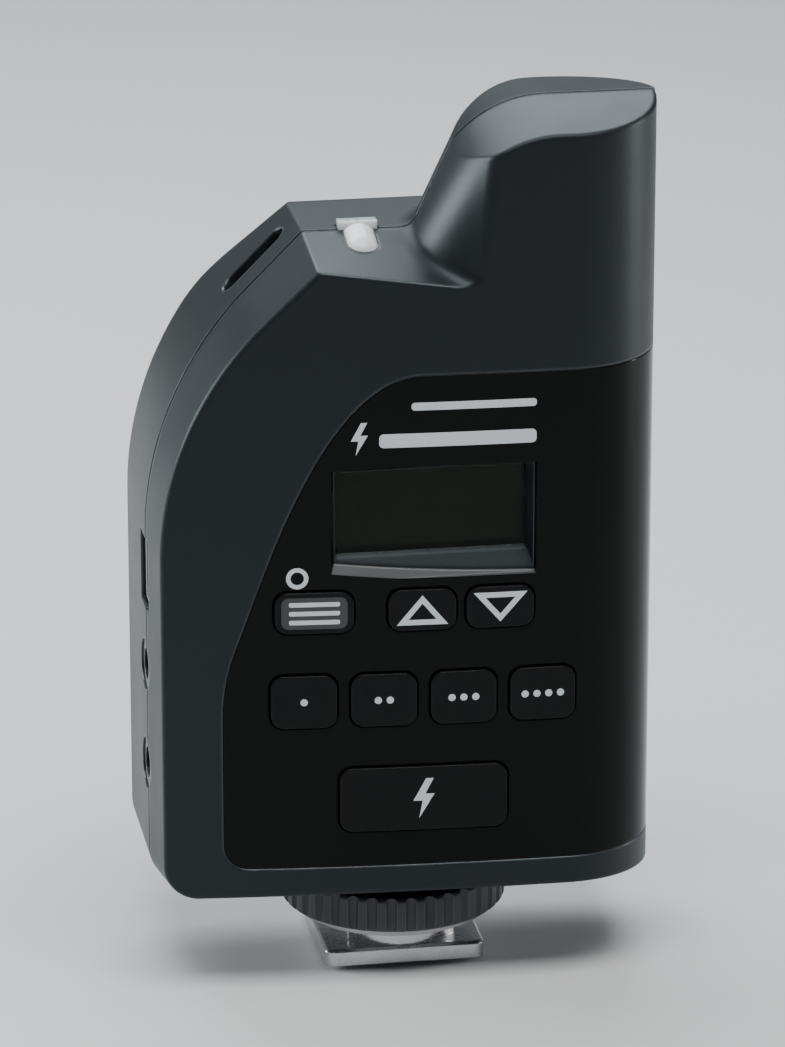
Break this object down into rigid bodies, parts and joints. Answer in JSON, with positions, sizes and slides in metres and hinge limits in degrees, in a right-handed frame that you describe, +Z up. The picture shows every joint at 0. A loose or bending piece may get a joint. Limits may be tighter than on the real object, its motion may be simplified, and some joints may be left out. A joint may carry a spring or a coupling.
{
  "type": "wireless flash trigger",
  "caption": "Pocket radio trigger for studio flash with display, keypad, stub aerial column, battery door, side sockets and a locking hot shoe foot.",
  "frame": {"origin": "centre of the shoe foot's underside", "axes": "+X right seen from the display side, +Y from the display to the battery door, +Z up along the aerial column"},
  "size_m": [0.0578, 0.0309, 0.102],
  "materials": {
    "case_plastic": "fine spark-eroded texture, charcoal black",
    "panel_gloss": "piano black gloss",
    "key_gloss": "satin gloss black",
    "window_clear": "clear acrylic",
    "lcd": "grey-green reflective display, switched off",
    "holder_plastic": "white moulded",
    "guide_clear": "frosted clear acrylic",
    "zebra_rubber": "layered conductive rubber",
    "mat_silicone": "translucent grey silicone",
    "dome_steel": "stamped",
    "board_green": "green solder resist",
    "chip_black": "moulded epoxy",
    "tin": "tin plated",
    "copper": "enamelled copper wire",
    "core_plastic": "natural nylon",
    "light_white": "translucent white",
    "led_body": "clear epoxy",
    "socket_black": "moulded",
    "cell_wrap": "printed foil sleeve on steel",
    "spring_steel": "nickel plated",
    "wire_red": "insulated lead",
    "wire_black": "insulated lead",
    "foot_metal": "satin chromed",
    "ring_nylon": "black moulded nylon",
    "washer_steel": "plain",
    "bush_nylon": "natural nylon",
    "contact_brass": "nickelled brass",
    "screw_steel": "zinc plated",
    "black_screw": "black oxide",
    "insert_brass": "turned"
  },
  "bodies": {
    "case": {"front_shell": "case_plastic", "rear_shell": "case_plastic", "face_panel": "panel_gloss", "display_window": "window_clear", "lcd_panel": "lcd", "lcd_holder": "holder_plastic", "light_guide": "guide_clear", "zebra_strips": "zebra_rubber", "keypad_mat": "mat_silicone", "dome_switches": "dome_steel", "main_board": "board_green", "board_chips": "chip_black", "rf_shield": "tin", "aerial_coil": "copper", "aerial_former": "core_plastic", "status_light_pipe": "light_white", "status_led": "led_body", "sync_socket_lower": "socket_black", "sync_socket_upper": "socket_black", "usb_socket": "tin", "battery_tray": "chip_black", "battery_cell_left": "cell_wrap", "battery_cell_right": "cell_wrap", "battery_springs": "spring_steel", "battery_plates": "spring_steel", "battery_leads": "wire_red", "door_hinge_pin": "spring_steel", "shoe_foot": "foot_metal", "contact_bush": "bush_nylon", "contact_spring": "spring_steel", "contact_terminal": "contact_brass", "shoe_leads": "wire_black", "case_screws": "black_screw", "board_screws": "screw_steel", "tray_screws": "screw_steel", "foot_screws": "screw_steel", "lanyard_pin": "spring_steel", "tripod_insert": "insert_brass"},
    "door": {"battery_door": "case_plastic"},
    "latch": {"door_latch": "case_plastic"},
    "washer": {"clamp_washer": "washer_steel"},
    "ring": {"locking_ring": "ring_nylon"},
    "contact": {"contact_pin": "contact_brass"},
    "mode_button": {"mode_key": "key_gloss"},
    "up_button": {"up_key": "key_gloss"},
    "down_button": {"down_key": "key_gloss"},
    "zone_button_1": {"zone_key_1": "key_gloss"},
    "zone_button_2": {"zone_key_2": "key_gloss"},
    "zone_button_3": {"zone_key_3": "key_gloss"},
    "zone_button_4": {"zone_key_4": "key_gloss"},
    "test_button": {"test_key": "key_gloss"}
  },
  "joints": [
    {"name": "mode_button_press", "type": "slide", "parent": "case", "child": "mode_button", "axis": [0, 1, 0], "range_m": [0, 0.0007]},
    {"name": "up_button_press", "type": "slide", "parent": "case", "child": "up_button", "axis": [0, 1, 0], "range_m": [0, 0.0007]},
    {"name": "down_button_press", "type": "slide", "parent": "case", "child": "down_button", "axis": [0, 1, 0], "range_m": [0, 0.0007]},
    {"name": "zone_button_1_press", "type": "slide", "parent": "case", "child": "zone_button_1", "axis": [0, 1, 0], "range_m": [0, 0.0007]},
    {"name": "zone_button_2_press", "type": "slide", "parent": "case", "child": "zone_button_2", "axis": [0, 1, 0], "range_m": [0, 0.0007]},
    {"name": "zone_button_3_press", "type": "slide", "parent": "case", "child": "zone_button_3", "axis": [0, 1, 0], "range_m": [0, 0.0007]},
    {"name": "zone_button_4_press", "type": "slide", "parent": "case", "child": "zone_button_4", "axis": [0, 1, 0], "range_m": [0, 0.0007]},
    {"name": "test_button_press", "type": "slide", "parent": "case", "child": "test_button", "axis": [0, 1, 0], "range_m": [0, 0.0007]},
    {"name": "battery_door_swing", "type": "hinge", "parent": "case", "child": "door", "pos_m": [0.003, 0.0134, 0.0172], "axis": [-1, 0, 0], "range_deg": [0, 110]},
    {"name": "door_latch_slide", "type": "slide", "parent": "door", "child": "latch", "axis": [0, 0, 1], "range_m": [0, 0.0025]},
    {"name": "clamp_washer_slide", "type": "slide", "parent": "case", "child": "washer", "axis": [0, 0, -1], "range_m": [0, 0.0023]},
    {"name": "locking_ring_turn", "type": "hinge", "parent": "washer", "child": "ring", "pos_m": [0, 0, 0.0074], "axis": [0, 0, -1], "range_deg": [0, 540]},
    {"name": "contact_pin_press", "type": "slide", "parent": "case", "child": "contact", "axis": [0, 0, 1], "range_m": [0, 0.0006], "deforming": ["contact_spring"]}
  ],
  "couplings": [
    {"joint": "clamp_washer_slide", "follows": "locking_ring_turn", "m_per_rad": 0.00023873}
  ]
}
